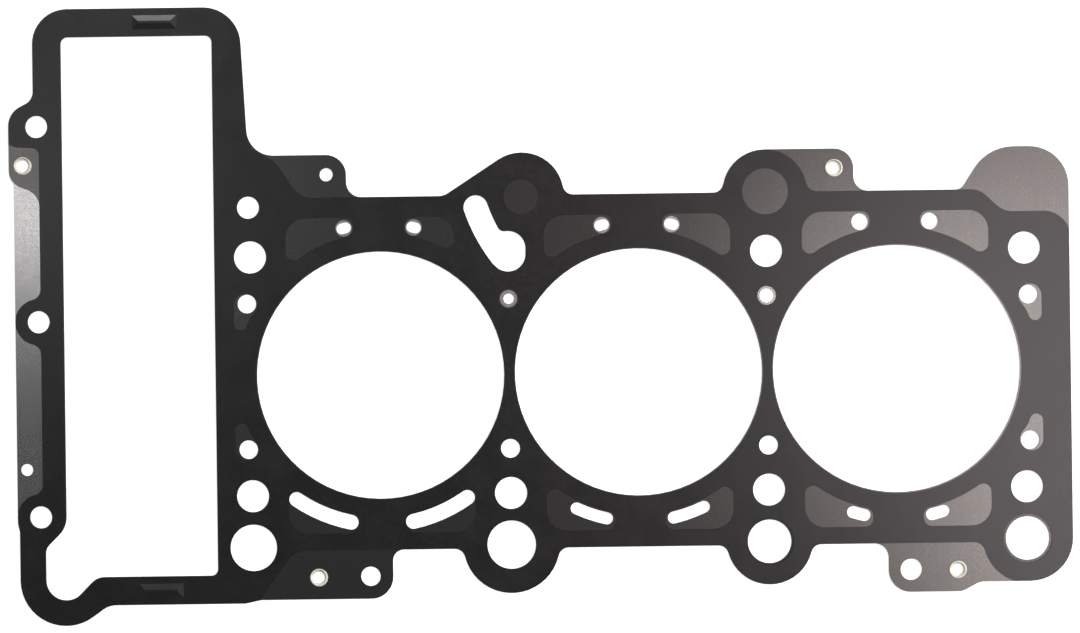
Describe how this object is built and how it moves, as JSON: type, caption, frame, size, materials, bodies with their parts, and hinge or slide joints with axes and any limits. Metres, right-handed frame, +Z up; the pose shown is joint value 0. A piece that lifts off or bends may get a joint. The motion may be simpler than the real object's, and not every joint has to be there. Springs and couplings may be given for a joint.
{
  "type": "cylinder head gasket",
  "caption": "Flat two-sheet steel head gasket for one cylinder bank, coated black, with bores, bolt holes, coolant and oil passages, a chain case frame and brass eyelets.",
  "frame": {"origin": "on the middle bore's axis, at the lower sheet's underside", "axes": "+X along the row of cylinders, away from the chain case; +Y across the row, towards the side with the domed tabs; +Z up, out of the coated face"},
  "size_m": [0.3695, 0.2151, 0.0014],
  "materials": {
    "coated_steel": "satin black elastomer coating on steel, bare steel at coolant passages and tabs",
    "bare_steel": "cold rolled, coated black underneath",
    "eyelet_brass": "plain"
  },
  "bodies": {
    "root": {"lower_sheet": "bare_steel", "upper_sheet": "coated_steel", "eyelet_side_tab": "eyelet_brass", "eyelet_upper_tab": "eyelet_brass", "eyelet_lower_left_tab": "eyelet_brass", "eyelet_lower_right_tab": "eyelet_brass"}
  },
  "joints": []
}
